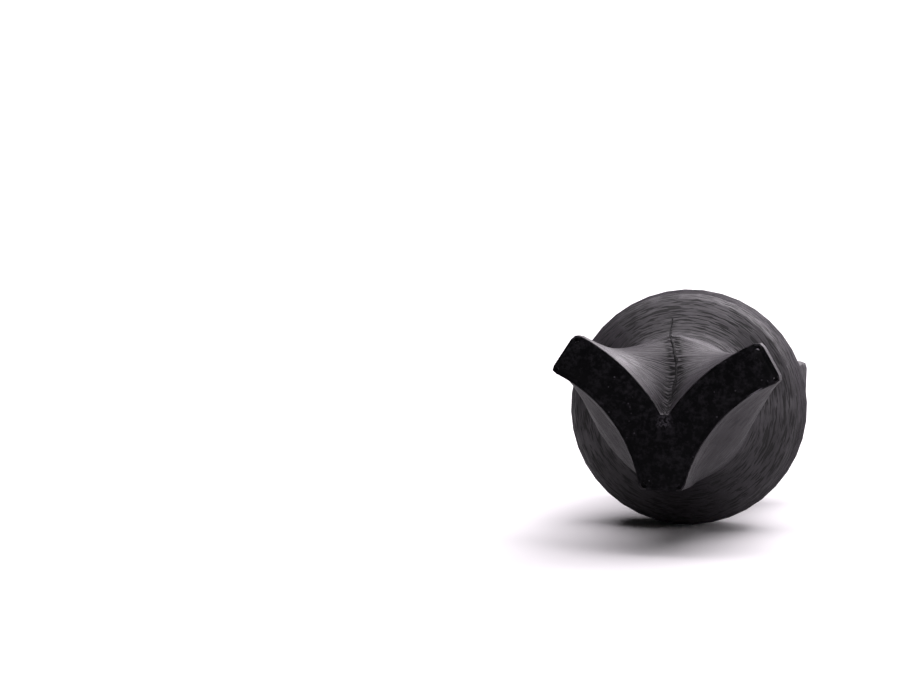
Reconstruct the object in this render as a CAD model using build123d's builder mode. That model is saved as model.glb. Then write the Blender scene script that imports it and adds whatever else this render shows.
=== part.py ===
from build123d import *
from math import asin, acos, cos, degrees, pi, radians, sin
import os

# Clay stamp, millimetres, +Z up. It lies on its round grip with the pressing face towards -Y and its near
# end raised a little, as such a stamp rests on a table. The origin is on the table, under the middle.

# The whole stamp
rest_tilt = 5.0
grip_radius = 13.55
front_length = 28.0
rear_length = 28.0
face_skin = 0.8
grip_wall_thickness = 1.6

# The pressing figure: two arms, each a piece of a flat ring, that run together into a stem
ring_centre_out = 18.85
ring_centre_drop = 11.33
ring_inner_radius = 16.65
ring_outer_radius = 21.6
arm_end_lower_angle = 20.9
arm_end_upper_angle = 23.3
stem_drop = 8.55
crotch_half_width = 0.41
corner_trim = 0.75

# The round waist between each head and the grip
waist_radius = 8.2
web_radius = 8.9
waist_distance = 9.0

# The far end, a rounded bar that stands a little above the axis
bar_half_width = 11.2
bar_half_height = 4.1
bar_rise = 1.0
bar_corner = 0.8

# The grip: a barrel with flat facets
grip_sides = 40
barrel_arc_radius = 23.0
barrel_half_length = 4.2

# Where the sections of a head stand along it, and how far each has gone from the figure to the round
front_station_shares = (0.0, 0.06, 0.13, 0.21, 0.3, 0.42, 0.56, 0.7, 0.85, 1.0)
front_web_shares = (0.0, 0.05, 0.2, 0.44, 0.72, 0.97, 1.0, 1.0, 1.0, 1.0)
front_arm_shares = (0.0, 0.0, 0.0, 0.04, 0.11, 0.26, 0.52, 0.76, 0.93, 1.0)
rear_station_shares = (0.0, 0.12, 0.25, 0.38, 0.52, 0.66, 0.82, 1.0)
rear_round_shares = (0.0, 0.03, 0.13, 0.31, 0.55, 0.79, 0.95, 1.0)
barrel_station_shares = (1.0, 0.7, 0.35, 0.0, -0.35, -0.7, -1.0)

# The flare between the grip and a waist: where its sections stand, and how far each has come down
flare_station_shares = (0.0, 0.2, 0.39, 0.58, 0.78, 1.0)
flare_drop_shares = (0.0, 0.115, 0.34, 0.61, 0.85, 1.0)

# Where each edge of a half outline ends on the round, from straight down (0) to straight up (1)
figure_turn_shares = (0.08, 0.095, 0.11, 0.53, 0.545, 0.56, 0.63, 0.645, 0.66, 0.98)
bar_turn_shares = (0.30, 0.35, 0.40, 0.60, 0.65, 0.70)

# How soon each control point of the arms' hollow edges follows the web instead of the arm
lower_web_shares = (0.0, 0.55, 0.9, 0.75, 0.0)
upper_web_shares = (0.0, 0.4, 0.6, 0.9, 1.0)

# How far the middle of a broken corner stands out towards the sharp corner, and a short arc's control point
corner_middle_share = 0.5
arc_tip_share = 0.98

tilt_cos = cos(radians(rest_tilt))
tilt_sin = sin(radians(rest_tilt))

# The height of the axis over the table and the place of the grip's middle follow from the tilt
facet_share = cos(pi / grip_sides)
axis_height = (barrel_arc_radius + (grip_radius - barrel_arc_radius) * tilt_cos) * facet_share
front_reach = front_length * tilt_cos + stem_drop * tilt_sin
rear_reach = rear_length * tilt_cos + (bar_rise + bar_half_height) * tilt_sin
grip_middle = Vector(0, (front_reach - rear_reach) / 2, axis_height)
axis_plane = Plane(origin=grip_middle, x_dir=(1, 0, 0), z_dir=(0, -tilt_cos, tilt_sin))


def circle_point(centre, radius, angle):
    """A point of a circle by its angle in degrees from straight up, turning towards -X."""
    return centre + Vector(-radius * sin(radians(angle)), radius * cos(radians(angle)))


def arc_controls(centre, radius, first_angle, last_angle):
    """The five Bezier control points of an edge that follows an arc of a circle."""
    sweep = radians(last_angle - first_angle)
    first = circle_point(centre, radius, first_angle)
    last = circle_point(centre, radius, last_angle)
    middle = circle_point(centre, radius, (first_angle + last_angle) / 2)
    second = first + circle_point(Vector(), radius, first_angle + 90) * (sweep / 4)
    fourth = last - circle_point(Vector(), radius, last_angle + 90) * (sweep / 4)
    third = (middle * 16 - (first + last) - (second + fourth) * 4) / 6
    return [first, second, third, fourth, last]


def line_controls(first, last, count):
    """Evenly spaced control points of a straight edge."""
    return [first + (last - first) * (step / (count - 1)) for step in range(count)]


def corner_edges(first, corner, last):
    """The two straight edges of a broken corner."""
    middle = corner * corner_middle_share + (first + last) * ((1 - corner_middle_share) / 2)
    return line_controls(first, middle, 3), line_controls(middle, last, 3)


def round_controls(radius, first_share, last_share, count):
    """The control points of an edge on the round, between two turn shares."""
    first_angle = 180 * (first_share - 1)
    last_angle = 180 * (last_share - 1)
    if count > 3:
        return arc_controls(Vector(), radius, first_angle, last_angle)
    half_turn = radians(last_angle - first_angle) / 2
    first = circle_point(Vector(), radius, first_angle)
    last = circle_point(Vector(), radius, last_angle)
    tip = circle_point(Vector(), radius / cos(half_turn), (first_angle + last_angle) / 2)
    return [first, tip * arc_tip_share + (first + last) * ((1 - arc_tip_share) / 2), last]


def mirrored(edge):
    return [Vector(-point.X, point.Y) for point in reversed(edge)]


def figure_edges():
    """The pressing figure's edges: the stem's foot, the right half's nine and the crotch."""
    centre = Vector(ring_centre_out, -ring_centre_drop)
    stem_angle = degrees(acos((ring_centre_drop - stem_drop) / ring_inner_radius))
    crotch_angle = degrees(asin((ring_centre_out - crotch_half_width) / ring_outer_radius))
    inner_trim = degrees(corner_trim / ring_inner_radius)
    outer_trim = degrees(corner_trim / ring_outer_radius)
    lower = arc_controls(centre, ring_inner_radius, stem_angle - inner_trim, arm_end_lower_angle + inner_trim)
    upper = arc_controls(centre, ring_outer_radius, arm_end_upper_angle + outer_trim, crotch_angle)
    foot_corner = circle_point(centre, ring_inner_radius, stem_angle)
    end_low = circle_point(centre, ring_inner_radius, arm_end_lower_angle)
    end_high = circle_point(centre, ring_outer_radius, arm_end_upper_angle)
    along = (end_high - end_low).normalized() * corner_trim
    foot_end = foot_corner - Vector(corner_trim, 0)
    right_half = [
        *corner_edges(foot_end, foot_corner, lower[0]),
        lower,
        *corner_edges(lower[-1], end_low, end_low + along),
        line_controls(end_low + along, end_high - along, 3),
        *corner_edges(end_high - along, end_high, upper[0]),
        upper,
    ]
    foot = line_controls(Vector(-foot_end.X, foot_end.Y), foot_end, 3)
    crotch = line_controls(upper[-1], Vector(-upper[-1].X, upper[-1].Y), 3)
    return foot, right_half, crotch


def bar_edges():
    """The far end's rounded bar: its underside, the right half's five edges and its top."""
    low = Vector(bar_half_width, bar_rise - bar_half_height)
    high = Vector(bar_half_width, bar_rise + bar_half_height)
    inward = Vector(bar_corner, 0)
    upward = Vector(0, bar_corner)
    right_half = [
        *corner_edges(low - inward, low, low + upward),
        line_controls(low + upward, high - upward, 3),
        *corner_edges(high - upward, high, high - inward),
    ]
    underside = line_controls(Vector(inward.X - low.X, low.Y), low - inward, 5)
    top = line_controls(high - inward, Vector(inward.X - high.X, high.Y), 5)
    return underside, right_half, top


def round_edges(radius, turn_shares, edges):
    """The same edges on a circle about the axis, ending at the given turn shares."""
    foot, right_half, top = edges
    round_foot = round_controls(radius, -turn_shares[0], turn_shares[0], len(foot))
    round_half = []
    for first, last, edge in zip(turn_shares, turn_shares[1:], right_half):
        round_half.append(round_controls(radius, first, last, len(edge)))
    round_top = round_controls(radius, turn_shares[-1], 2 - turn_shares[-1], len(top))
    return round_foot, round_half, round_top


def blended(edge, round_edge, shares):
    """Moves each control point by its share from the outline to the round."""
    return [a * (1 - share) + b * share for a, b, share in zip(edge, round_edge, shares)]


def draw_section(edges, turn_shares, radius, end_share, web_share, web_follow):
    """A head's outline where its ends and its web have gone their shares of the way to the round."""
    foot, half, top = edges
    round_foot, round_half, round_top = round_edges(radius, turn_shares, edges)
    Bezier(*blended(foot, round_foot, [end_share] * len(foot)))
    blended_half = []
    for number, (edge, round_edge) in enumerate(zip(half, round_half)):
        follow = web_follow.get(number, [0] * len(edge))
        shares = [end_share + (web_share - end_share) * part for part in follow]
        blended_half.append(blended(edge, round_edge, shares))
    for edge in blended_half:
        Bezier(*edge)
    Bezier(*blended(top, round_top, [web_share] * len(top)))
    for edge in reversed(blended_half):
        Bezier(*mirrored(edge))


figure_web_follow = {2: lower_web_shares, 8: upper_web_shares}
front_head_length = front_length - face_skin - waist_distance
rear_head_length = rear_length - face_skin - waist_distance


def web_radius_at(share):
    """The round that a section heads for: the web's own, drawn in to the waist at the end."""
    return web_radius + (waist_radius - web_radius) * share


def barrel_radius(distance):
    """The grip's radius at a distance along the axis from its middle."""
    return grip_radius - barrel_arc_radius + (barrel_arc_radius**2 - distance**2) ** 0.5


def flare_radius(drop_share):
    """The flare's radius where it has come down by a share from the grip to the waist."""
    grip_end_radius = barrel_radius(barrel_half_length)
    return grip_end_radius + (waist_radius - grip_end_radius) * drop_share


half_facet_turn = 180.0 / grip_sides


# Pressing face: the flat first layers, with the whole figure
with BuildPart() as pressing_face:
    with BuildSketch(axis_plane.offset(front_length - face_skin)):
        with BuildLine():
            draw_section(figure_edges(), figure_turn_shares, web_radius, 0, 0, figure_web_follow)
        make_face()
    extrude(amount=face_skin)

# Front head: lofted from the figure over a rounded web to the waist
with BuildPart() as front_head:
    for station, web, arm in zip(front_station_shares, front_web_shares, front_arm_shares):
        with BuildSketch(axis_plane.offset(front_length - face_skin - front_head_length * station)):
            with BuildLine():
                draw_section(figure_edges(), figure_turn_shares, web_radius_at(arm), arm, web, figure_web_follow)
            make_face()
    loft(ruled=True)

# Front flare: the hollow curve from the grip in to the waist
with BuildPart() as front_flare:
    for share, drop_share in zip(flare_station_shares, flare_drop_shares):
        distance = barrel_half_length + (waist_distance - barrel_half_length) * share
        with BuildSketch(axis_plane.offset(distance)):
            RegularPolygon(flare_radius(drop_share), grip_sides, rotation=half_facet_turn)
    loft(ruled=True)

# Grip core: the infill inside the wall
with BuildPart() as grip_core:
    for share in barrel_station_shares:
        distance = barrel_half_length * share
        with BuildSketch(axis_plane.offset(distance)):
            RegularPolygon(barrel_radius(distance) - grip_wall_thickness, grip_sides, rotation=half_facet_turn)
    loft(ruled=True)

# Grip wall: the faceted barrel round the core
with BuildPart() as grip_wall:
    for share in barrel_station_shares:
        distance = barrel_half_length * share
        with BuildSketch(axis_plane.offset(distance)):
            RegularPolygon(barrel_radius(distance), grip_sides, rotation=half_facet_turn)
    loft(ruled=True)
    add(grip_core.part, mode=Mode.SUBTRACT)

# Rear flare: the same curve on the far side
with BuildPart() as rear_flare:
    for share, drop_share in zip(flare_station_shares, flare_drop_shares):
        distance = barrel_half_length + (waist_distance - barrel_half_length) * share
        with BuildSketch(axis_plane.offset(-distance)):
            RegularPolygon(flare_radius(drop_share), grip_sides, rotation=half_facet_turn)
    loft(ruled=True)

# Rear head: lofted from the waist to the rounded bar
with BuildPart() as rear_head:
    for station, share in zip(rear_station_shares, rear_round_shares):
        with BuildSketch(axis_plane.offset(rear_head_length * station - rear_length + face_skin)):
            with BuildLine():
                draw_section(bar_edges(), bar_turn_shares, waist_radius, share, share, {})
            make_face()
    loft(ruled=True)

# Rear face: the flat last layers of the bar
with BuildPart() as rear_face:
    with BuildSketch(axis_plane.offset(-rear_length)):
        with BuildLine():
            draw_section(bar_edges(), bar_turn_shares, waist_radius, 0, 0, {})
        make_face()
    extrude(amount=face_skin)

os.makedirs("parts", exist_ok=True)
pressing_face.part.label = "pressing_face"
export_step(pressing_face.part, "parts/pressing_face.step")
front_head.part.label = "front_head"
export_step(front_head.part, "parts/front_head.step")
front_flare.part.label = "front_flare"
export_step(front_flare.part, "parts/front_flare.step")
grip_wall.part.label = "grip_wall"
export_step(grip_wall.part, "parts/grip_wall.step")
grip_core.part.label = "grip_core"
export_step(grip_core.part, "parts/grip_core.step")
rear_flare.part.label = "rear_flare"
export_step(rear_flare.part, "parts/rear_flare.step")
rear_head.part.label = "rear_head"
export_step(rear_head.part, "parts/rear_head.step")
rear_face.part.label = "rear_face"
export_step(rear_face.part, "parts/rear_face.step")
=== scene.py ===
import math

import bmesh
import bpy
from bpy.props import FloatProperty, FloatVectorProperty, PointerProperty
from mathutils import Matrix, Vector, noise
from mathutils.bvhtree import BVHTree


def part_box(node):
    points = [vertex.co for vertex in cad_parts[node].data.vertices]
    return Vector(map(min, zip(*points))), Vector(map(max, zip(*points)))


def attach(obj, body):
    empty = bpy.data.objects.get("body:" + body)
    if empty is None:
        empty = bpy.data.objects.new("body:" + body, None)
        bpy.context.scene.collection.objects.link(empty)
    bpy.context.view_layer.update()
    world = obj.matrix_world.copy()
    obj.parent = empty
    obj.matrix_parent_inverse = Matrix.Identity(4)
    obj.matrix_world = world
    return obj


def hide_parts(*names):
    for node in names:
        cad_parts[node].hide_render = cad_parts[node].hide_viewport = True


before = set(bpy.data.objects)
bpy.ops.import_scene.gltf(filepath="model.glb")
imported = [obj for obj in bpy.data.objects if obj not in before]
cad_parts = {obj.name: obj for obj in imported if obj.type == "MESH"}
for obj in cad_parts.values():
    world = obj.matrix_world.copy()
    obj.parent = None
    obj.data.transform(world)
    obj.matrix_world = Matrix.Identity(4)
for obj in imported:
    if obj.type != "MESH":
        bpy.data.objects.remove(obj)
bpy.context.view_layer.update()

bl_info = {
    "name": "Clay stamp",
    "version": (1, 0, 0),
    "blender": (4, 5, 0),
    "location": "3D View > Sidebar > Clay stamp",
    "description": "A printed clay stamp that lies on its round grip",
    "category": "Object",
}

MM = 0.001

# The stamp's tilt as it lies on its grip, and the directions out of its pressing face and up from its axis
REST_TILT = math.radians(5.0)
OUTWARD = Vector((0.0, -math.cos(REST_TILT), math.sin(REST_TILT)))
UPWARD = Vector((0.0, math.sin(REST_TILT), math.cos(REST_TILT)))

GRIP_LOW, GRIP_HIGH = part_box("grip_wall")
GRIP_MIDDLE = (Vector(GRIP_LOW) + Vector(GRIP_HIGH)) / 2


def length_property(name, description, millimetres):
    return FloatProperty(name=name, description=description, default=millimetres * MM, min=0.0, unit="LENGTH",
                         precision=5)


def colour_property(name, description, colour):
    return FloatVectorProperty(name=name, description=description, default=colour, size=3, min=0.0, max=1.0,
                               subtype="COLOR")


class StampSizes(bpy.types.PropertyGroup):
    """Sizes of the printed details."""
    layer_height: length_property("Layer height", "Thickness of one printed layer", 0.25)
    layer_depth: length_property("Layer depth", "How deep the lines between layers are", 0.022)
    edge_width: length_property("Edge width", "Width of the lip that is drawn back round the pressing face", 0.2)
    crease_reach: length_property("Crease reach", "Half the width of the crease between the arms", 0.4)
    crease_depth: length_property("Crease depth", "How deep the crease between the arms is", 0.5)
    seam_reach: length_property("Seam reach", "How far beside the seam the layers are rougher", 1.7)
    seam_depth: length_property("Seam depth", "How much deeper the layer lines are beside the seam", 0.08)
    bead_size: length_property("Bead size", "Radius of the beads along the seam", 0.16)
    bead_length: length_property("Bead length", "Half the length of a bead along the seam", 0.2)
    perimeter_inset: length_property("Perimeter inset", "Distance of the outline's line from the edge", 0.5)
    perimeter_width: length_property("Perimeter width", "Width of each side of the outline's line", 0.07)
    perimeter_depth: length_property("Perimeter depth", "Depth of the outline's line", 0.03)


class StampColours(bpy.types.PropertyGroup):
    """Colours of the print and of the stage."""
    # The plastic colour, the darker of the two, is painted shade in the breaks between the layers and in the
    # tears beside the seam, and a random tone in the infill
    plastic: colour_property("Plastic", "The plastic in the layers' breaks", (0.003, 0.0026, 0.0033))
    plastic_pale: colour_property("Pale plastic", "The plastic on the layers", (0.046, 0.039, 0.049))
    # The seam colours are painted shade: the beads are near black for the shadow in the seam's gap
    seam: colour_property("Seam", "The beads along the seam", (0.002, 0.002, 0.0024))
    seam_pale: colour_property("Pale seam", "The grain on the beads", (0.008, 0.0075, 0.009))
    face: colour_property("Face", "The plastic on the pressing face", (0.002, 0.002, 0.0027))
    face_pale: colour_property("Pale face", "The mottles on the pressing face", (0.028, 0.026, 0.031))
    speck: colour_property("Specks", "The pale crumbs on the pressing face", (0.075, 0.07, 0.082))
    # The lip colour is a painted highlight: the pale line where the lip at the right tip catches the light
    lip: colour_property("Lip", "The rubbed lip at the right tip of the figure", (0.8, 0.76, 0.84))
    light: colour_property("Light", "The lamps, a little towards magenta", (1.0, 0.945, 1.0))
    bounce: colour_property("Bounce", "The floor as it lights the stamp", (0.28, 0.28, 0.28))
    floor: colour_property("Floor", "The floor as the camera sees it", (0.94, 0.94, 0.94))


def sizes():
    return bpy.context.scene.stamp_sizes


def colours():
    return bpy.context.scene.stamp_colours


# Places on the stamp

def along(point):
    """How far a point is along the stamp from the grip's middle, towards the pressing face."""
    return (point - GRIP_MIDDLE).dot(OUTWARD)


def rise(point):
    """How far a point is above the stamp's axis."""
    return (point - GRIP_MIDDLE).dot(UPWARD)


def share_between(value, low, high):
    """How far a value is from low to high, from 0 to 1."""
    return min(max((value - low) / (high - low), 0.0), 1.0)


FACE_POINTS = [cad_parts["pressing_face"].matrix_world @ vertex.co
               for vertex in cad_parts["pressing_face"].data.vertices]

# How far the pressing face is from the grip's middle
FACE_DISTANCE = max(along(point) for point in FACE_POINTS)

# How far the bottom of the notch between the arms is above the axis, and how near the middle its points are
NOTCH_REACH = 0.6 * MM
NOTCH_RISE = max(rise(point) for point in FACE_POINTS if abs(point.x) < NOTCH_REACH)

# The seam where each printed layer starts and ends: distance along the stamp and sideways, millimetres
SEAM_PATH = ((6.6, -1.62), (8.6, -1.70), (14.0, -1.2), (19.6, -0.42), (21.1, 0.12), (22.3, 0.55),
             (23.3, 0.74), (24.1, 0.57), (25.2, 0.18), (27.1, -0.12))
SEAM_START = SEAM_PATH[0][0] * MM
SEAM_END = SEAM_PATH[-1][0] * MM

# How the seam wanders about its path: the length of a wave, its height and its row in the noise
WANDER_LENGTH = 0.9 * MM
WANDER_HEIGHT = 0.07 * MM
WANDER_ROW = 4.7

# Beside the seam the layers are fully rough from the first distance on, and have only a share of that up to
# the second, in millimetres. Sideways the roughness falls off by a power
ROUGH_FROM = 20.0
TIDY_UP_TO = 14.0
TIDY_SHARE = 0.25
SEAM_FALLOFF = 1.2

# Where the lip gets its painted highlight: how far behind the face, in lip widths, and how far to the right, in
# millimetres
HIGHLIGHT_DEPTHS = (0.3, 1.5)
HIGHLIGHT_PLACES = (9.0, 10.0)


def seam_side(distance):
    """The seam's place to the side at a distance along the stamp."""
    wander = noise.noise(Vector((distance / WANDER_LENGTH, WANDER_ROW, 0.0))) * WANDER_HEIGHT
    for (first, first_side), (last, last_side) in zip(SEAM_PATH, SEAM_PATH[1:]):
        if distance <= last * MM:
            share = share_between(distance / MM, first, last)
            share = share * share * (3 - 2 * share)
            return (first_side + (last_side - first_side) * share) * MM + wander
    return SEAM_PATH[-1][1] * MM + wander


def seam_nearness(point):
    """From 1 on the seam to 0 where the layers are even again."""
    distance = along(point)
    if rise(point) < 0 or distance < SEAM_START or distance > FACE_DISTANCE + MM:
        return 0.0
    away = abs(point.x - seam_side(distance)) / sizes().seam_reach
    strength = TIDY_SHARE + (1.0 - TIDY_SHARE) * share_between(distance / MM, TIDY_UP_TO, ROUGH_FROM)
    return strength * max(1.0 - away, 0.0) ** SEAM_FALLOFF


def painted_lip_highlight(point):
    """From 0 on the flat face and far back on the sides to 1 on the lip at the right tip, where a highlight is
    painted.
    """
    depth = (FACE_DISTANCE - along(point)) / sizes().edge_width
    if depth < HIGHLIGHT_DEPTHS[0] or depth > HIGHLIGHT_DEPTHS[1]:
        return 0.0
    return share_between(point.x / MM, *HIGHLIGHT_PLACES)


# Materials

def new_socket(tree, name, direction, kind, default=None):
    socket = tree.interface.new_socket(name=name, in_out=direction, socket_type=kind)
    if default is not None:
        socket.default_value = default
    return socket


def add_math(tree, operation, first, second=None):
    node = tree.nodes.new("ShaderNodeMath")
    node.operation = operation
    for socket, value in zip(node.inputs, (first, second)):
        if value is None:
            continue
        if isinstance(value, (int, float)):
            socket.default_value = value
        else:
            tree.links.new(value, socket)
    return node.outputs[0]


def add_noise(tree, vector, scale, detail, roughness):
    node = tree.nodes.new("ShaderNodeTexNoise")
    node.inputs["Scale"].default_value = scale
    node.inputs["Detail"].default_value = detail
    node.inputs["Roughness"].default_value = roughness
    tree.links.new(vector, node.inputs["Vector"])
    return node.outputs["Fac"]


def add_range(tree, value, first, last, low=0.0, high=1.0):
    """Maps a value that runs from first to last to one that runs from low to high, and stops there."""
    node = tree.nodes.new("ShaderNodeMapRange")
    for socket, number in zip(node.inputs[1:5], (first, last, low, high)):
        socket.default_value = number
    tree.links.new(value, node.inputs[0])
    return node.outputs[0]


# How far the layers wander, in layers, and how high the parts of a layer's bump are beside each other
LAYER_WANDER = 0.9
BACK_HEIGHT = 0.7
STEP_HEIGHT = 0.25
DASH_HEIGHT = 1.6

# The noise of dashes and strokes is stretched round the stamp's axis
STROKE_SCALE = (0.07, 0.07, 1.0)


def layer_group():
    """Printed layers with rounded backs, short dashes for the breaks in them that the material paints darker as
    shade, random patches, a fine grain, and strokes for painted shade in the tears beside the seam.
    """
    if "Layer lines" in bpy.data.node_groups:
        return bpy.data.node_groups["Layer lines"]
    tree = bpy.data.node_groups.new("Layer lines", "ShaderNodeTree")
    new_socket(tree, "Vector", "INPUT", "NodeSocketVector")
    new_socket(tree, "Layers per metre", "INPUT", "NodeSocketFloat", 4000.0)
    for name in ("Height", "Variation", "Grain", "Strokes"):
        new_socket(tree, name, "OUTPUT", "NodeSocketFloat")
    source = tree.nodes.new("NodeGroupInput")
    result = tree.nodes.new("NodeGroupOutput")
    vector = source.outputs["Vector"]

    # Each layer has a round back, whose root is kept just above zero, and a step of its own
    split = tree.nodes.new("ShaderNodeSeparateXYZ")
    tree.links.new(vector, split.inputs[0])
    count = add_math(tree, "MULTIPLY", split.outputs["Z"], source.outputs["Layers per metre"])
    wander = add_noise(tree, vector, scale=160.0, detail=3.0, roughness=0.6)
    count = add_math(tree, "ADD", count, add_math(tree, "MULTIPLY", wander, LAYER_WANDER))
    place = add_math(tree, "FRACT", count)
    across = add_math(tree, "MULTIPLY", add_math(tree, "SUBTRACT", place, 0.5), 2.0)
    below_one = add_math(tree, "SUBTRACT", 1.001, add_math(tree, "MULTIPLY", across, across))
    back = add_math(tree, "SQRT", below_one)
    step = tree.nodes.new("ShaderNodeTexWhiteNoise")
    step.noise_dimensions = "1D"
    tree.links.new(add_math(tree, "FLOOR", count), step.inputs["W"])

    stretched = tree.nodes.new("ShaderNodeMapping")
    stretched.vector_type = "POINT"
    stretched.inputs["Scale"].default_value = STROKE_SCALE
    tree.links.new(vector, stretched.inputs["Vector"])
    dashes = add_noise(tree, stretched.outputs["Vector"], scale=8200.0, detail=1.0, roughness=0.5)
    dashes = add_range(tree, dashes, 0.4, 0.5)
    strokes = add_noise(tree, stretched.outputs["Vector"], scale=9000.0, detail=1.0, roughness=0.5)
    strokes = add_range(tree, strokes, 0.56, 0.47)
    patches = add_noise(tree, vector, scale=420.0, detail=4.0, roughness=0.65)
    shade = add_math(tree, "MULTIPLY", dashes, add_range(tree, patches, 0.3, 0.7, low=0.45))
    grain = add_noise(tree, vector, scale=5200.0, detail=2.0, roughness=0.6)

    height = add_math(tree, "ADD", add_math(tree, "MULTIPLY", back, BACK_HEIGHT),
                      add_math(tree, "MULTIPLY", step.outputs["Value"], STEP_HEIGHT))
    height = add_math(tree, "ADD", height, add_math(tree, "MULTIPLY", dashes, DASH_HEIGHT))
    for name, output in (("Height", height), ("Variation", shade), ("Grain", grain), ("Strokes", strokes)):
        tree.links.new(output, result.inputs[name])
    return tree


def start_material(name, roughness, specular):
    """A material with the print's coordinates: its Z runs along the stamp, from the grip's middle."""
    material = bpy.data.materials.new(name)
    material.use_nodes = True
    tree = material.node_tree
    shader = tree.nodes["Principled BSDF"]
    shader.inputs["Roughness"].default_value = roughness
    shader.inputs["Specular IOR Level"].default_value = specular
    coordinates = tree.nodes.new("ShaderNodeTexCoord")
    centre = tree.nodes.new("ShaderNodeMapping")
    centre.vector_type = "POINT"
    centre.inputs["Location"].default_value = -GRIP_MIDDLE
    tree.links.new(coordinates.outputs["Object"], centre.inputs["Vector"])
    turn = tree.nodes.new("ShaderNodeMapping")
    turn.vector_type = "POINT"
    turn.inputs["Rotation"].default_value = (-math.pi / 2 + REST_TILT, 0.0, 0.0)
    tree.links.new(centre.outputs["Vector"], turn.inputs["Vector"])
    return material, tree, shader, turn.outputs["Vector"]


def mix_colours(tree, factor, first, second):
    node = tree.nodes.new("ShaderNodeMix")
    node.data_type = "RGBA"
    for socket, colour in zip(node.inputs[6:8], (first, second)):
        if isinstance(colour, bpy.types.NodeSocket):
            tree.links.new(colour, socket)
        else:
            socket.default_value = (*colour, 1.0)
    tree.links.new(factor, node.inputs[0])
    return node.outputs[2]


def add_bump(tree, height, distance, strength, normal=None):
    node = tree.nodes.new("ShaderNodeBump")
    node.inputs["Distance"].default_value = distance
    node.inputs["Strength"].default_value = strength
    tree.links.new(height, node.inputs["Height"])
    if normal is not None:
        tree.links.new(normal, node.inputs["Normal"])
    return node.outputs["Normal"]


def read_attribute(tree, name):
    """The value that finish_piece stores at each point of a mesh under this name."""
    node = tree.nodes.new("ShaderNodeAttribute")
    node.attribute_name = name
    return node.outputs["Fac"]


def add_lip_highlight(tree, colour, vector):
    """Lays a painted highlight, the pale lip at the right tip, over a colour."""
    uneven = add_noise(tree, vector, scale=900.0, detail=3.0, roughness=0.6)
    uneven = add_range(tree, uneven, 0.3, 0.6, low=0.7)
    highlight_share = add_math(tree, "MULTIPLY", read_attribute(tree, "highlight_share"), uneven)
    return mix_colours(tree, highlight_share, colour, colours().lip)


# The finish of each zone of the print, which the light catches in its own way: its roughness, its specular
# level, and how much darker, as painted shade, and rougher the short breaks in its layers are
FINISHES = {
    "black_print": (0.44, 0.5, 0.35),
    "flare_print": (0.43, 0.62, 0.75),
    "grip_print": (0.6, 0.2, 0.65),
}

# How much of the pale plastic the layers show, how much rougher their breaks are, and how rough strokes are
PALE_SHARE = 0.75
GAP_ROUGHNESS = 0.4
TORN_ROUGHNESS = 0.95


def print_material(name):
    """The sides of the print, with its layers, painted shade in the breaks between them, and strokes of painted
    shade in the torn layers beside the seam.
    """
    if name in bpy.data.materials:
        return bpy.data.materials[name]
    roughness, specular, gaps = FINISHES[name]
    material, tree, shader, vector = start_material(name, roughness, specular)
    layers = tree.nodes.new("ShaderNodeGroup")
    layers.node_tree = layer_group()
    tree.links.new(vector, layers.inputs["Vector"])
    layers.inputs["Layers per metre"].default_value = 1.0 / sizes().layer_height
    torn = add_range(tree, read_attribute(tree, "seam"), 0.02, 0.6)
    # Painted shade: the torn layers beside the seam are darker in strokes
    tear_shade = add_math(tree, "MULTIPLY", torn, layers.outputs["Strokes"])
    # Painted shade: the breaks in the layers are darker, together with random patches of tone
    shade = add_range(tree, layers.outputs["Variation"], 0.0, 1.0, low=PALE_SHARE - gaps, high=PALE_SHARE)
    shade = add_math(tree, "SUBTRACT", shade, tear_shade)
    colour = mix_colours(tree, shade, colours().plastic, colours().plastic_pale)
    # Painted highlight on the lip at the right tip
    colour = add_lip_highlight(tree, colour, vector)
    tree.links.new(colour, shader.inputs["Base Color"])
    rough = add_range(tree, layers.outputs["Variation"], 0.0, 1.0,
                      low=roughness + GAP_ROUGHNESS * gaps, high=roughness)
    rough = add_math(tree, "MAXIMUM", rough, add_math(tree, "MULTIPLY", tear_shade, TORN_ROUGHNESS))
    tree.links.new(rough, shader.inputs["Roughness"])
    normal = add_bump(tree, layers.outputs["Height"], distance=sizes().layer_depth, strength=0.8)
    normal = add_bump(tree, layers.outputs["Grain"], distance=0.01 * MM, strength=0.4, normal=normal)
    whole = add_math(tree, "SUBTRACT", 1.0, tear_shade)
    normal = add_bump(tree, whole, distance=0.05 * MM, strength=0.8, normal=normal)
    tree.links.new(normal, shader.inputs["Normal"])
    return material


# The scuffed patch on the face: how far its middle is under the notch, and where it fades out
SCUFF_DROP = 0.75 * MM
SCUFF_INNER = 0.4 * MM
SCUFF_OUTER = 1.1 * MM


def face_specks(tree, vector):
    """Where the pressing face has pale specks: a few dots all over, and crumbs in the scuffed patch."""
    cells = tree.nodes.new("ShaderNodeTexVoronoi")
    cells.inputs["Scale"].default_value = 1400.0
    tree.links.new(vector, cells.inputs["Vector"])
    dots = add_range(tree, cells.outputs["Distance"], 0.2, 0.08)
    some = add_range(tree, add_noise(tree, vector, scale=700.0, detail=2.0, roughness=0.5), 0.57, 0.62)
    dots = add_math(tree, "MULTIPLY", dots, some)
    away = tree.nodes.new("ShaderNodeVectorMath")
    away.operation = "DISTANCE"
    away.inputs[1].default_value = (0.0, NOTCH_RISE - SCUFF_DROP, FACE_DISTANCE)
    tree.links.new(vector, away.inputs[0])
    scuffed = add_range(tree, away.outputs["Value"], SCUFF_OUTER, SCUFF_INNER)
    crumbs = add_range(tree, add_noise(tree, vector, scale=4200.0, detail=2.0, roughness=0.5), 0.47, 0.6)
    return add_math(tree, "MAXIMUM", dots, add_math(tree, "MULTIPLY", scuffed, crumbs))


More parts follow.
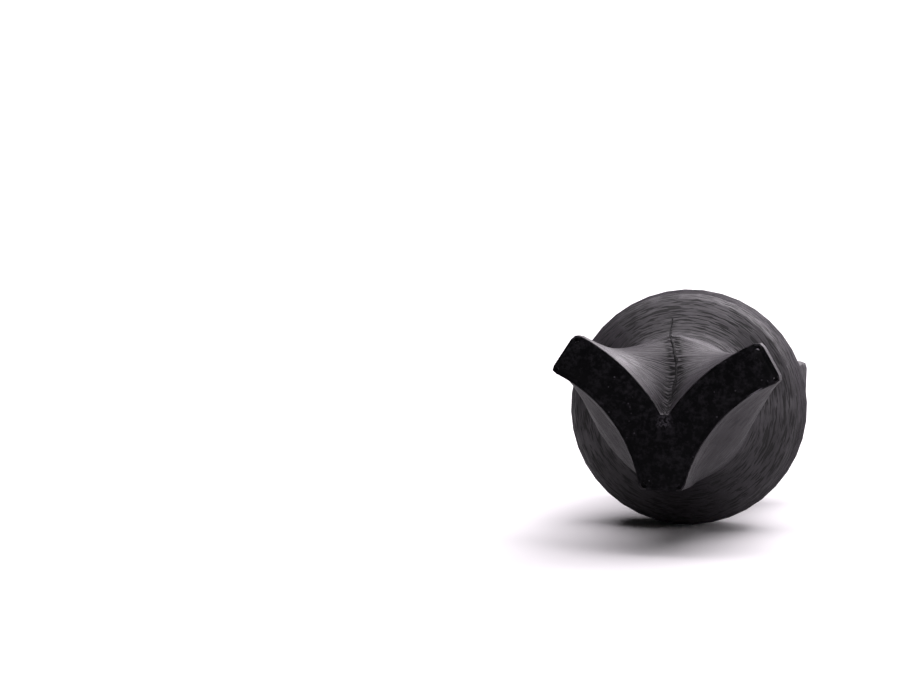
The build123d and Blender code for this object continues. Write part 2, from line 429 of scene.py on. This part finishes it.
def face_material():
    """The pressing face: matt and mottled, with pale specks."""
    if "printed_face" in bpy.data.materials:
        return bpy.data.materials["printed_face"]
    material, tree, shader, vector = start_material("printed_face", roughness=0.5, specular=0.1)
    patches = add_noise(tree, vector, scale=1300.0, detail=5.0, roughness=0.72)
    colour = mix_colours(tree, add_range(tree, patches, 0.47, 0.72), colours().face, colours().face_pale)
    colour = mix_colours(tree, face_specks(tree, vector), colour, colours().speck)
    # Painted highlight on the lip at the right tip
    colour = add_lip_highlight(tree, colour, vector)
    tree.links.new(colour, shader.inputs["Base Color"])
    rough = add_range(tree, patches, 0.3, 0.7, low=0.45, high=0.7)
    tree.links.new(rough, shader.inputs["Roughness"])
    normal = add_bump(tree, patches, distance=0.05 * MM, strength=0.8)
    tree.links.new(normal, shader.inputs["Normal"])
    return material


def seam_material():
    """The beads along the seam, rougher than the layers, and painted near black as the shade in the seam's gap.
    """
    if "print_seam" in bpy.data.materials:
        return bpy.data.materials["print_seam"]
    material, tree, shader, vector = start_material("print_seam", roughness=0.6, specular=0.3)
    grain = add_noise(tree, vector, scale=4000.0, detail=3.0, roughness=0.6)
    # Painted shade: near-black beads for the shadow in the seam's gap
    colour = mix_colours(tree, grain, colours().seam, colours().seam_pale)
    tree.links.new(colour, shader.inputs["Base Color"])
    normal = add_bump(tree, grain, distance=0.03 * MM, strength=0.6)
    tree.links.new(normal, shader.inputs["Normal"])
    return material


def infill_material():
    """The infill inside the grip, which the wall hides."""
    material, tree, shader, vector = start_material("print_infill", roughness=0.6, specular=0.5)
    patches = add_noise(tree, vector, scale=600.0, detail=4.0, roughness=0.6)
    colour = mix_colours(tree, patches, colours().plastic, colours().plastic_pale)
    tree.links.new(colour, shader.inputs["Base Color"])
    normal = add_bump(tree, patches, distance=0.03 * MM, strength=0.5)
    tree.links.new(normal, shader.inputs["Normal"])
    return material


# Meshes

MERGE_DISTANCE = 0.002 * MM
CUT_DISTANCE = 0.001 * MM


def copy_node(node):
    """A merged copy of a node of the frame."""
    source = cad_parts[node]
    mesh = bmesh.new()
    mesh.from_mesh(source.data)
    bmesh.ops.transform(mesh, matrix=source.matrix_world, verts=mesh.verts)
    bmesh.ops.remove_doubles(mesh, verts=mesh.verts, dist=MERGE_DISTANCE)
    return mesh


def cut_across(mesh, point, normal):
    """Cuts a whole mesh where a plane meets it, and keeps both sides."""
    geometry = mesh.verts[:] + mesh.edges[:] + mesh.faces[:]
    bmesh.ops.bisect_plane(mesh, geom=geometry, dist=CUT_DISTANCE, plane_co=point, plane_no=normal)


# The head is cut at these shares of the crease's reach, and what lies past its edge share stays. The crease
# starts behind the pressing face, deepens over its run-in and has faded out at its length, in millimetres
CREASE_CUTS = (-0.5, 0.0, 0.5)
CREASE_EDGE = 0.99
CREASE_RUN_IN = 1.0
CREASE_LENGTH = 5.0


def copy_head():
    """A copy of the front head, with the bottom of the notch between its arms drawn in to a crease."""
    mesh = copy_node("front_head")
    reach = sizes().crease_reach
    for share in CREASE_CUTS:
        cut_across(mesh, Vector((reach * share, 0.0, 0.0)), Vector((1.0, 0.0, 0.0)))
    last = max(along(vert.co) for vert in mesh.verts)
    for vert in mesh.verts:
        side = abs(vert.co.x) / reach
        if rise(vert.co) < 0 or side > CREASE_EDGE:
            continue
        behind = (last - along(vert.co)) / MM
        fade = share_between(behind, 0.0, CREASE_RUN_IN) * (1.0 - share_between(behind, 0.0, CREASE_LENGTH))
        vert.co -= UPWARD * sizes().crease_depth * fade * (1.0 - side)
    return mesh


# Faces whose normal is this close to the stamp's axis are a piece's ends, and the rest are its sides. Cuts
# keep clear of the ends by a share of their step
END_FACE_SHARE = 0.97
END_CLEARANCE = 0.1

# How the depth of the layer lines varies: the middle of its share, how much the noise adds, the length of a
# patch, the noise's jump from one layer to the next, and how sharp a line is
LINE_SHARE = 0.65
LINE_VARIATION = 0.8
LINE_PATCH = 2.4 * MM
LINE_JUMP = 1.7
LINE_SHARPNESS = 1.5

# The same for the tears beside the seam, with their row in the noise
TEAR_SHARE = 0.7
TEAR_VARIATION = 2.6
TEAR_PATCH = 1.6 * MM
TEAR_JUMP = 3.3
TEAR_ROW = 9.1


def sideways_normal(vert):
    """The outward direction at a vertex of a piece's side, square to the stamp's axis."""
    total = Vector()
    for face in vert.link_faces:
        if abs(face.normal.dot(OUTWARD)) < END_FACE_SHARE:
            total += face.normal * face.calc_area()
    total -= OUTWARD * total.dot(OUTWARD)
    return total.normalized() if total.length > 0 else total


def line_depth(point):
    """How deep the surface is pressed in at a point: most between two layers, and more beside the seam."""
    layer = along(point) / sizes().layer_height
    line = abs(layer - math.floor(layer) - 0.5) * 2
    patch = Vector((point.x / LINE_PATCH, rise(point) / LINE_PATCH, round(layer) * LINE_JUMP))
    uneven = LINE_SHARE + LINE_VARIATION * noise.noise(patch)
    tear = Vector((point.x / TEAR_PATCH, TEAR_ROW, math.floor(layer + 0.5) * TEAR_JUMP))
    torn = TEAR_SHARE + TEAR_VARIATION * noise.noise(tear)
    rough = sizes().seam_depth * max(torn, 0.0) * seam_nearness(point)
    return (sizes().layer_depth * uneven + rough) * line ** LINE_SHARPNESS


def press_layers(mesh):
    """Cuts a piece twice in each printed layer, and presses in the lines between the layers."""
    step = sizes().layer_height / 2
    places = [along(vert.co) for vert in mesh.verts]
    first = math.ceil(min(places) / step + END_CLEARANCE)
    last = math.floor(max(places) / step - END_CLEARANCE)
    for number in range(first, last + 1):
        cut_across(mesh, GRIP_MIDDLE + OUTWARD * number * step, OUTWARD)
    mesh.normal_update()
    moves = [(vert, sideways_normal(vert) * -line_depth(vert.co)) for vert in mesh.verts]
    for vert, move in moves:
        vert.co += move


LIP_STEPS = 3


def border_of(faces):
    """The vertices where some faces meet the faces round them."""
    region = set(faces)
    return {vert for face in faces for edge in face.edges if not region.issuperset(edge.link_faces)
            for vert in edge.verts}


def draw_lip_back(mesh, outer, direction):
    """Insets a flat region in steps and draws the vertices on its border back.

    An inset keeps vertices of the border before it, and these go back once for each ring that they are in. The
    lip is therefore an uneven groove and not a true round, and it folds over in places.
    """
    radius = sizes().edge_width
    rings = [border_of(outer)]
    reach = 0.0
    for step in range(1, LIP_STEPS + 1):
        inset = radius * (1 - math.cos(math.pi / 2 * step / LIP_STEPS))
        bmesh.ops.inset_region(mesh, faces=outer, thickness=inset - reach, depth=0.0, use_even_offset=True)
        reach = inset
        rings.append(border_of(outer))
    for step, ring in enumerate(rings):
        back = radius * (1 - math.sin(math.pi / 2 * step / LIP_STEPS))
        for vert in ring:
            vert.co -= direction * back


def finish_piece(mesh, name, material, nodes, sharp):
    """Makes an object of a bmesh, rides it on the stamp and lets it stand for its nodes."""
    data = bpy.data.meshes.new(name)
    mesh.to_mesh(data)
    mesh.free()
    data.shade_smooth()
    data.set_sharp_from_angle(angle=math.radians(sharp))
    data.materials.append(material)
    nearness = data.attributes.new("seam", "FLOAT", "POINT")
    # Each point also keeps its share of the painted highlight on the lip at the right tip
    highlight_share = data.attributes.new("highlight_share", "FLOAT", "POINT")
    for number, vertex in enumerate(data.vertices):
        nearness.data[number].value = seam_nearness(vertex.co)
        highlight_share.data[number].value = painted_lip_highlight(vertex.co)
    piece = bpy.data.objects.new(name, data)
    bpy.context.scene.collection.objects.link(piece)
    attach(piece, "root")
    for node in nodes:
        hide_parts(node)
    return piece


class STAMP_OT_heads(bpy.types.Operator):
    """Make the two heads"""
    bl_idname = "stamp.heads"
    bl_label = "Heads"

    def execute(self, context):
        for node, mesh in (("front_head", copy_head()), ("rear_head", copy_node("rear_head"))):
            press_layers(mesh)
            finish_piece(mesh, node + "_print", print_material("black_print"), [node], sharp=50.0)
        return {"FINISHED"}


class STAMP_OT_grip(bpy.types.Operator):
    """Make the grip and the cones beside it"""
    bl_idname = "stamp.grip"
    bl_label = "Grip"

    def execute(self, context):
        for node, finish in (("grip_wall", "grip_print"), ("front_flare", "flare_print"),
                             ("rear_flare", "flare_print")):
            mesh = copy_node(node)
            press_layers(mesh)
            finish_piece(mesh, node + "_print", print_material(finish), [node], sharp=40.0)
        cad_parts["grip_core"].data.materials.clear()
        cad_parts["grip_core"].data.materials.append(infill_material())
        return {"FINISHED"}


# Beads follow each other at this step, in layers, and are widest over this stretch of the seam
BEAD_STEP = 0.5
WIDE_START = 20 * MM
WIDE_END = 24.6 * MM
NARROW_SHARE = 0.6

# A bead's height beside its width, how much its width varies, how far it strays, and its place in the noise
BEAD_FLATNESS = 0.6
BEAD_VARIATION = 0.9
BEAD_STRAY = 0.08 * MM
BEAD_JUMP = 0.73
BEAD_ROW = 1.3

# A ray is cast down to the surface from this far above the stamp's axis, in millimetres
CAST_HEIGHT = 20.0


def seam_spot(surface, distance):
    """The seam's place on a surface, and the surface's normal there, at a distance along the stamp."""
    above = UPWARD * CAST_HEIGHT * MM
    start = GRIP_MIDDLE + OUTWARD * distance + Vector((seam_side(distance), 0.0, 0.0)) + above
    spot, normal, _, _ = surface.ray_cast(start, -UPWARD)
    return spot, normal


def add_bead(mesh, surface, layer):
    """Lays a bead on a surface, in line with the seam, at a distance that is counted in layers."""
    distance = layer * sizes().layer_height
    spot, normal = seam_spot(surface, distance)
    ahead, _ = seam_spot(surface, distance + sizes().layer_height / 4)
    if spot is None or ahead is None:
        return
    uneven = noise.noise(Vector((layer * BEAD_JUMP, BEAD_ROW, 0.0)))
    width = 1.0 if WIDE_START < distance < WIDE_END else NARROW_SHARE
    size = sizes().bead_size * width * (1.0 + BEAD_VARIATION * uneven)
    run = (ahead - spot).normalized()
    across = normal.cross(run).normalized()
    turn = Matrix((across, run, run.cross(across))).transposed().to_4x4()
    shape = Matrix.Diagonal((size, sizes().bead_length, size * BEAD_FLATNESS, 1.0))
    place = Matrix.Translation(spot + Vector((uneven * BEAD_STRAY, 0.0, 0.0)))
    bmesh.ops.create_icosphere(mesh, subdivisions=2, radius=1.0, matrix=place @ turn @ shape)


class STAMP_OT_seam(bpy.types.Operator):
    """Make the row of small beads along the seam"""
    bl_idname = "stamp.seam"
    bl_label = "Seam"

    def execute(self, context):
        height = sizes().layer_height
        for node, source in (("front_flare", copy_node("front_flare")), ("front_head", copy_head())):
            surface = BVHTree.FromBMesh(source)
            places = [along(vert.co) for vert in source.verts]
            source.free()
            mesh = bmesh.new()
            layer = math.ceil(max(min(places), SEAM_START) / height) + BEAD_STEP
            while layer * height < min(max(places), SEAM_END):
                add_bead(mesh, surface, layer)
                layer += BEAD_STEP
            if not mesh.verts:
                raise RuntimeError("no seam on " + node)
            finish_piece(mesh, node + "_seam", seam_material(), (), sharp=60.0)
        return {"FINISHED"}


# How straight outwards a polygon looks that is part of the flat end, and one that has the face's material
FLAT_SHARE = 0.999
FACE_SHARE = 0.6


class STAMP_OT_faces(bpy.types.Operator):
    """Make the pressing face and the far face, with the lip at their edge and the line inside the outline"""
    bl_idname = "stamp.faces"
    bl_label = "Faces"

    def execute(self, context):
        for node, direction in (("pressing_face", OUTWARD), ("rear_face", -OUTWARD)):
            mesh = copy_node(node)
            outer = [face for face in mesh.faces if face.normal.dot(direction) > FLAT_SHARE]
            if not outer:
                raise RuntimeError(node + " has no outer face")
            draw_lip_back(mesh, outer, direction)
            for width, depth in ((sizes().perimeter_inset - sizes().edge_width, 0.0),
                                 (sizes().perimeter_width, -sizes().perimeter_depth),
                                 (sizes().perimeter_width, sizes().perimeter_depth)):
                bmesh.ops.inset_region(mesh, faces=outer, thickness=width, depth=depth, use_even_offset=True)
            piece = finish_piece(mesh, node + "_print", print_material("black_print"), [node], sharp=40.0)
            piece.data.materials.append(face_material())
            for polygon in piece.data.polygons:
                if polygon.normal.dot(direction) > FACE_SHARE:
                    polygon.material_index = 1
        return {"FINISHED"}


# Stage

# How far the floor reaches each way, in metres, and how much of its own colour the stamp's reflections show
FLOOR_REACH = 4.0
MIRRORED_SHARE = 0.22
WORLD_STRENGTH = 0.02

# Square lamps: name, place, what they point at, side and power, in metres and watts
LAMPS = (
    ("overhead", (0.0, 0.25, 1.1), (0.0, 0.1, 0.0), 1.6, 24.5),
    ("behind", (0.48, 0.93, 0.74), (0.0, 0.0, 0.02), 0.9, 15.0),
    ("side", (0.9, -0.15, 0.2), (0.0, 0.0, 0.013), 0.35, 2.2),
)

# The camera that sees the stamp as the photo shows it: its place and its range in metres, its turns in
# degrees, and its lens and sensor in millimetres
CAMERA_PLACE = (0.06713, -0.68311, 0.09667)
CAMERA_AZIMUTH = 7.925
CAMERA_ELEVATION = 6.411
CAMERA_ROLL = 1.574
CAMERA_LENS = 240.0
CAMERA_SENSOR = 36.0
CAMERA_RANGE = 20.0


def floor_material():
    """White paper that gives less light back to the stamp than it shows to the camera."""
    material = bpy.data.materials.new("floor_paper")
    material.use_nodes = True
    tree = material.node_tree
    shader = tree.nodes["Principled BSDF"]
    rays = tree.nodes.new("ShaderNodeLightPath")
    mirrored = add_math(tree, "MULTIPLY", rays.outputs["Is Glossy Ray"], MIRRORED_SHARE)
    direct = add_math(tree, "MAXIMUM", rays.outputs["Is Camera Ray"], mirrored)
    shown = mix_colours(tree, direct, colours().bounce, colours().floor)
    tree.links.new(shown, shader.inputs["Base Color"])
    shader.inputs["Roughness"].default_value = 0.9
    shader.inputs["Specular IOR Level"].default_value = 0.1
    return material


def make_floor(scene):
    mesh = bmesh.new()
    bmesh.ops.create_grid(mesh, x_segments=1, y_segments=1, size=FLOOR_REACH)
    data = bpy.data.meshes.new("floor")
    mesh.to_mesh(data)
    mesh.free()
    data.materials.append(floor_material())
    floor = bpy.data.objects.new("floor", data)
    scene.collection.objects.link(floor)


def make_world(scene):
    world = bpy.data.worlds.new("studio")
    world.use_nodes = True
    background = world.node_tree.nodes["Background"]
    background.inputs["Color"].default_value = (1.0, 1.0, 1.0, 1.0)
    background.inputs["Strength"].default_value = WORLD_STRENGTH
    scene.world = world


def add_lamp(scene, name, place, target, side, power):
    light = bpy.data.lights.new(name, "AREA")
    light.shape = "SQUARE"
    light.size = side
    light.energy = power
    light.color = colours().light
    lamp = bpy.data.objects.new(name, light)
    lamp.location = place
    direction = Vector(target) - Vector(place)
    lamp.rotation_euler = direction.to_track_quat("-Z", "Y").to_euler()
    scene.collection.objects.link(lamp)


def place_camera(scene):
    azimuth = math.radians(CAMERA_AZIMUTH)
    elevation = math.radians(CAMERA_ELEVATION)
    roll = math.radians(CAMERA_ROLL)
    forward = Vector((-math.sin(azimuth) * math.cos(elevation), math.cos(azimuth) * math.cos(elevation),
                      -math.sin(elevation)))
    level = forward.cross(Vector((0.0, 0.0, 1.0))).normalized()
    upright = level.cross(forward)
    right = level * math.cos(roll) + upright * math.sin(roll)
    up = upright * math.cos(roll) - level * math.sin(roll)
    turn = Matrix((right, up, -forward)).transposed().to_4x4()
    data = bpy.data.cameras.new("camera")
    data.lens = CAMERA_LENS
    data.sensor_width = CAMERA_SENSOR
    data.sensor_fit = "HORIZONTAL"
    data.clip_end = CAMERA_RANGE
    camera = bpy.data.objects.new("camera", data)
    camera.matrix_world = Matrix.Translation(CAMERA_PLACE) @ turn
    scene.collection.objects.link(camera)
    scene.camera = camera


class STAMP_OT_stage(bpy.types.Operator):
    """Make the floor, the lights and the camera"""
    bl_idname = "stamp.stage"
    bl_label = "Stage"

    def execute(self, context):
        scene = context.scene
        make_floor(scene)
        make_world(scene)
        for lamp in LAMPS:
            add_lamp(scene, *lamp)
        place_camera(scene)
        scene.view_settings.view_transform = "Standard"
        return {"FINISHED"}


class STAMP_PT_panel(bpy.types.Panel):
    """Lists the steps that make the stamp"""
    bl_idname = "STAMP_PT_panel"
    bl_label = "Clay stamp"
    bl_space_type = "VIEW_3D"
    bl_region_type = "UI"
    bl_category = "Clay stamp"

    def draw(self, context):
        layout = self.layout
        for settings in (context.scene.stamp_sizes, context.scene.stamp_colours):
            for name in settings.__annotations__:
                layout.prop(settings, name)
        for step in STEPS:
            layout.operator(step.bl_idname)


STEPS = (STAMP_OT_stage, STAMP_OT_heads, STAMP_OT_grip, STAMP_OT_seam, STAMP_OT_faces)
CLASSES = (StampSizes, StampColours, *STEPS, STAMP_PT_panel)


def register():
    for entry in CLASSES:
        bpy.utils.register_class(entry)
    bpy.types.Scene.stamp_sizes = PointerProperty(type=StampSizes)
    bpy.types.Scene.stamp_colours = PointerProperty(type=StampColours)


def unregister():
    del bpy.types.Scene.stamp_colours
    del bpy.types.Scene.stamp_sizes
    for entry in reversed(CLASSES):
        bpy.utils.unregister_class(entry)


def main():
    register()
    bpy.ops.stamp.stage()
    bpy.ops.stamp.heads()
    bpy.ops.stamp.grip()
    bpy.ops.stamp.seam()
    bpy.ops.stamp.faces()


if __name__ == "__main__":
    main()
